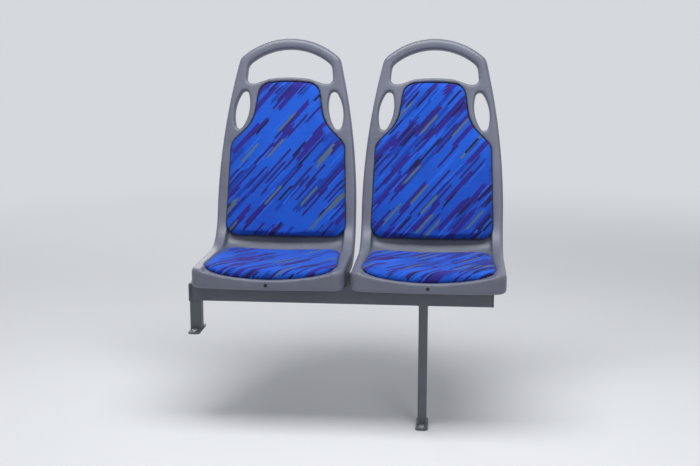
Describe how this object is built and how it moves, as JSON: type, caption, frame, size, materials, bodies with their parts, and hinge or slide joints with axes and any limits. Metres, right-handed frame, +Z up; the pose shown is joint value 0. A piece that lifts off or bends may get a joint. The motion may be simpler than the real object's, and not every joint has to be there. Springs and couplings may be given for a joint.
{
  "type": "twin passenger seat for a city bus",
  "caption": "Fixed bus seat for a couple of passengers: moulded shells with handle arches and upholstered pads on a steel underframe held by the floor and the side wall.",
  "frame": {"origin": "centre of the aisle leg's foot plate on the floor", "axes": "+Z up, -Y the way a sitter faces, +X towards the aisle, so the side wall is at -X"},
  "size_m": [0.88, 0.5477, 1.067],
  "materials": {
    "shell_plastic": "moulded mid grey, fine grain, satin",
    "pad_fabric": "royal blue woven cloth with slanting strokes",
    "frame_paint": "dark grey powder coat",
    "cap_plastic": "black",
    "bolt_steel": "zinc plated",
    "dark_screw": "black oxide"
  },
  "bodies": {
    "root": {"shell_window": "shell_plastic", "shell_aisle": "shell_plastic", "back_pad_window": "pad_fabric", "back_pad_aisle": "pad_fabric", "seat_pad_window": "pad_fabric", "seat_pad_aisle": "pad_fabric", "lip_screw_window": "dark_screw", "lip_screw_aisle": "dark_screw", "beam_front": "frame_paint", "beam_rear": "frame_paint", "beam_cap_front": "cap_plastic", "beam_cap_rear": "cap_plastic", "rail_window_wallside": "frame_paint", "rail_window_aisleside": "frame_paint", "rail_aisle_wallside": "frame_paint", "rail_aisle_aisleside": "frame_paint", "pan_bolts_window": "bolt_steel", "pan_bolts_aisle": "bolt_steel", "leg": "frame_paint", "leg_foot": "frame_paint", "ledge_leg": "frame_paint", "ledge_leg_foot": "frame_paint", "wall_plate": "frame_paint"}
  },
  "joints": []
}
